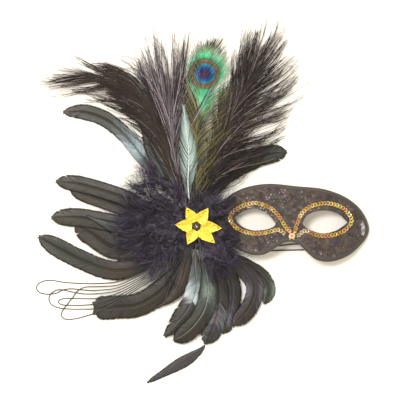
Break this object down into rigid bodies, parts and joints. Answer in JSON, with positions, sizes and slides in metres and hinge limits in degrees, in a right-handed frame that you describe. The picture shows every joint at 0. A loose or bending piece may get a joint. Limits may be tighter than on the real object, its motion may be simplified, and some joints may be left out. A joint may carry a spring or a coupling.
{
  "type": "venetian masquerade mask",
  "caption": "Black sequined half mask lying face up, gold braid round the eyes, with a side spray of coque, ostrich and peacock feathers, marabou down and a gold flower.",
  "frame": {"origin": "middle of the underside of the round felt backing behind the flower, on the surface the mask lies on", "axes": "+Z out of the mask's front, +Y up the face, +X along the mask from the flower to its far end"},
  "size_m": [0.3632, 0.3897, 0.0339],
  "materials": {
    "sequin_fabric": "black sequined cloth, glossy discs on a matt ground",
    "satin_binding": "black satin bias tape",
    "lining_fabric": "matt woven lining",
    "stiff_card": "matt",
    "gold_braid": "gold lurex and sequin braid",
    "gold_petal": "brushed gold film with glitter",
    "dark_bead": "dark polished",
    "coque_barb": "black feather with a green sheen",
    "ostrich_barb": "loose dark brown barbs",
    "peacock_barb": "iridescent barbs with an eye",
    "silver_barb": "silver feather with a mint sheen",
    "marabou_down": "soft purple-black down",
    "black_felt": "felt",
    "black_cord": "thin covered elastic"
  },
  "bodies": {
    "root": {"braid_knot": "gold_braid", "centre_bead": "dark_bead", "coque_01": "coque_barb", "coque_02": "coque_barb", "coque_03": "coque_barb", "coque_04": "coque_barb", "coque_05": "coque_barb", "coque_06": "coque_barb", "coque_07": "coque_barb", "coque_08": "coque_barb", "coque_09": "coque_barb", "coque_10": "coque_barb", "coque_11": "coque_barb", "coque_12": "coque_barb", "coque_13": "coque_barb", "coque_14": "coque_barb", "coque_15": "coque_barb", "coque_16": "coque_barb", "coque_17": "coque_barb", "coque_18": "coque_barb", "coque_19": "coque_barb", "cord_wrap": "black_felt", "edge_binding": "satin_binding", "elastic_cord": "black_cord", "elastic_tab_left": "lining_fabric", "elastic_tab_right": "lining_fabric", "eye_braid_left": "gold_braid", "eye_braid_right": "gold_braid", "felt_backing": "black_felt", "flower_plug": "black_felt", "loop_cord_1": "black_cord", "loop_cord_2": "black_cord", "loop_cord_3": "black_cord", "loop_cord_4": "black_cord", "marabou_1": "marabou_down", "marabou_2": "marabou_down", "marabou_3": "marabou_down", "marabou_4": "marabou_down", "marabou_5": "marabou_down", "marabou_6": "marabou_down", "marabou_7": "marabou_down", "mask_cover": "sequin_fabric", "mask_form": "stiff_card", "mask_lining": "lining_fabric", "ostrich_plume_curled": "ostrich_barb", "ostrich_plume_right": "ostrich_barb", "ostrich_plume_tall": "ostrich_barb", "peacock_feather": "peacock_barb", "petal_1": "gold_petal", "petal_2": "gold_petal", "petal_3": "gold_petal", "petal_4": "gold_petal", "petal_5": "gold_petal", "petal_6": "gold_petal", "quill_pad": "stiff_card", "side_cord_1": "black_cord", "side_cord_2": "black_cord", "silver_hackle": "silver_barb"}
  },
  "joints": []
}
